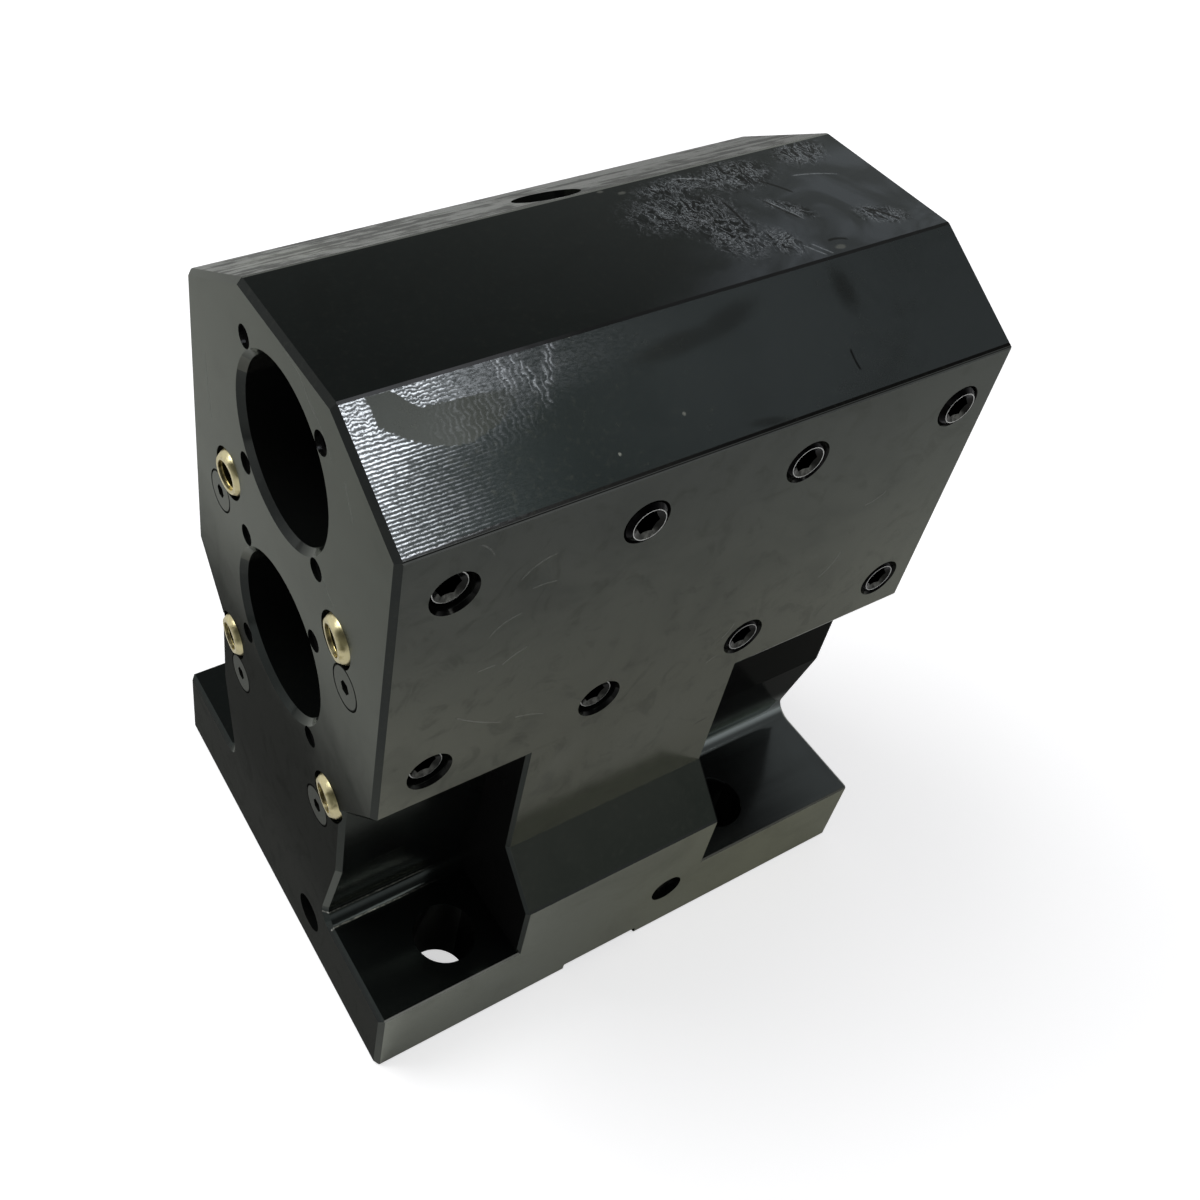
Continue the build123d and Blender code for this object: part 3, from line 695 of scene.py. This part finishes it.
# %% One internal thread
def thread(name, mouth_mm, inward, radius_mm, pitch_mm, length_mm, height_mm, steps):
    """A helical ridge inside a hole. Mouth is the centre of the hole's mouth, inward a unit axis.

    A turn has so many steps, and the ridge grows and ends over eight of them.
    """
    inward = Vector(inward)
    first = Vector((0.0, 0.0, 1.0))
    second = inward.cross(first)
    mesh = bmesh.new()
    rows = []
    turns = length_mm / pitch_mm
    count = max(int(turns * steps), 4)
    for i in range(count + 1):
        angle = 2 * math.pi * i / steps
        along = length_mm * i / count
        grow = min(1.0, i / 8, (count - i) / 8)
        out = first * math.cos(angle) + second * math.sin(angle)
        points = ((radius_mm, -0.42), (radius_mm - height_mm * grow, 0.0), (radius_mm, 0.42))
        row = []
        for reach, shift in points:
            place_mm = Vector(mouth_mm) + out * reach + inward * (along + shift * pitch_mm * grow)
            row.append(mesh.verts.new(place_mm / 1000.0))
        rows.append(row)
    for low, high in zip(rows, rows[1:]):
        for k in range(3):
            mesh.faces.new((low[k], low[(k + 1) % 3], high[(k + 1) % 3], high[k]))
    mesh.faces.new(rows[0][::-1])
    mesh.faces.new(rows[-1])
    bmesh.ops.recalc_face_normals(mesh, faces=mesh.faces)
    data = bpy.data.meshes.new(name)
    mesh.to_mesh(data)
    mesh.free()
    piece = bpy.data.objects.new(name, data)
    bpy.context.scene.collection.objects.link(piece)
    return piece


# %% Threads in the face taps
TAP_CIRCLE_MM, TAP_RADIUS_MM, TAP_PITCH_MM, TAP_LENGTH_MM, TAP_RIDGE_MM = 38.5, 2.09, 0.8, 10.0, 0.35
thread_pieces = []
for level, height in BORE_HEIGHTS_MM.items():
    for number in range(4):
        angle = math.radians(45 + 90 * number)
        out = TAP_CIRCLE_MM / 2
        mouth = (LEFT_MM + 0.6, out * math.cos(angle), height + out * math.sin(angle))
        name = f"face_thread_{level}_{number + 1}"
        sizes = (TAP_RADIUS_MM, TAP_PITCH_MM, TAP_LENGTH_MM, TAP_RIDGE_MM)
        thread_pieces.append(thread(name, mouth, (1, 0, 0), *sizes, steps=20))
for piece in thread_pieces:
    piece.data.materials.append(flush.material)
    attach(piece, "holder")
print("threads:", len(thread_pieces), "faces:", sum(len(p.data.polygons) for p in thread_pieces))

# %% [markdown]
# ## The floor
# The photograph stands on plain white. The floor is a large pale sheet that takes the soft shadow. It
# is a little brighter to the camera only, so that it reads as white and no more light falls on the part.
# Its underside is clear, so the mounting face can be looked at from below.

# %% A pale floor
floor_data = bpy.data.meshes.new("floor")
reach = 12.0
corners = [(-reach, -reach, 0), (reach, -reach, 0), (reach, reach, 0), (-reach, reach, 0)]
floor_data.from_pydata(corners, [], [(0, 1, 2, 3)])
floor = bpy.data.objects.new("floor", floor_data)
bpy.context.scene.collection.objects.link(floor)
floor.location.z = cad_box[0].z - 0.0002
paper = Finish("pale_floor", Roughness=0.9)
paper.give("Base Color", (0.80, 0.80, 0.81, 1.0))
lift = paper.add("LightPath", {}, output="Is Camera Ray")
paper.shader.inputs["Emission Strength"].default_value = 1.0
paper.give("Emission Color", mix(paper, lift, (0.0, 0.0, 0.0), (0.62, 0.62, 0.62)))
from_below = paper.add("NewGeometry", {}, output="Backfacing")
paper.blend(from_below, paper.tree.nodes.new("ShaderNodeBsdfTransparent"))
paper.material.cycles.emission_sampling = "NONE"
floor_data.materials.append(paper.material)

# %% [markdown]
# ## Light
# The soft shadow falls to the lower right, so the main lamp is high behind the left. The near shoulder
# glints by the nozzles, so a weak lamp hangs where that face mirrors it. The rest comes from a pale
# world that is dimmer overhead, which is what the black top of the block mirrors.

# %% Lamps
def lamp(name, place, target, size, power):
    """A square soft white lamp that looks at a target. Size is in metres and power in watts."""
    light = bpy.data.lights.new(name, "AREA")
    light.shape, light.size, light.energy = "SQUARE", size, power
    holder = bpy.data.objects.new(name, light)
    bpy.context.scene.collection.objects.link(holder)
    holder.location = place
    holder.rotation_euler = (Vector(target) - Vector(place)).to_track_quat("-Z", "Y").to_euler()
    return holder


lamp("main", (-0.55, 0.60, 1.30), (0, 0, 0.05), 0.9, 12.0)
lamp("glint", (0.40, -0.36, 1.10), (0, 0, 0.08), 0.3, 0.9)

# %% The room
world = bpy.data.worlds.new("room")
bpy.context.scene.world = world
world.use_nodes = True
tree = world.node_tree
direction = tree.nodes.new("ShaderNodeTexCoord")
height = tree.nodes.new("ShaderNodeSeparateXYZ")
ramp = tree.nodes.new("ShaderNodeValToRGB")
stops = ((0.0, 0.80), (0.30, 0.62), (0.50, 0.30), (0.62, 0.13), (1.0, 0.10))
while len(ramp.color_ramp.elements) < len(stops):
    ramp.color_ramp.elements.new(1.0)
for element, (position, grey) in zip(ramp.color_ramp.elements, stops):
    element.position, element.color = position, (grey, grey, grey * 1.03, 1.0)
tree.links.new(direction.outputs["Generated"], height.inputs[0])
tree.links.new(height.outputs["Z"], ramp.inputs[0])
background = tree.nodes["Background"]
tree.links.new(ramp.outputs[0], background.inputs["Color"])
background.inputs["Strength"].default_value = 1.0

# %% [markdown]
# ## Camera
# The camera was found by fitting the block's corners to the photograph, which gives its place, its
# turn and its lens. The picture is a crop from one side of the lens's view, hence the small shift.

# %% The photograph's view
camera_data = bpy.data.cameras.new("camera")
camera = bpy.data.objects.new("camera", camera_data)
bpy.context.scene.collection.objects.link(camera)
camera.location = (-0.12454, -0.14583, 0.27954)
camera.rotation_euler = [math.radians(a) for a in (45.5207, -5.2902, -30.0045)]
camera_data.lens, camera_data.sensor_width = 41.427, 36.0
camera_data.shift_x, camera_data.shift_y = 0.125, -0.0833
camera_data.clip_start, camera_data.clip_end = 0.01, 20.0
bpy.context.scene.camera = camera
bpy.context.scene.view_settings.view_transform = "Standard"
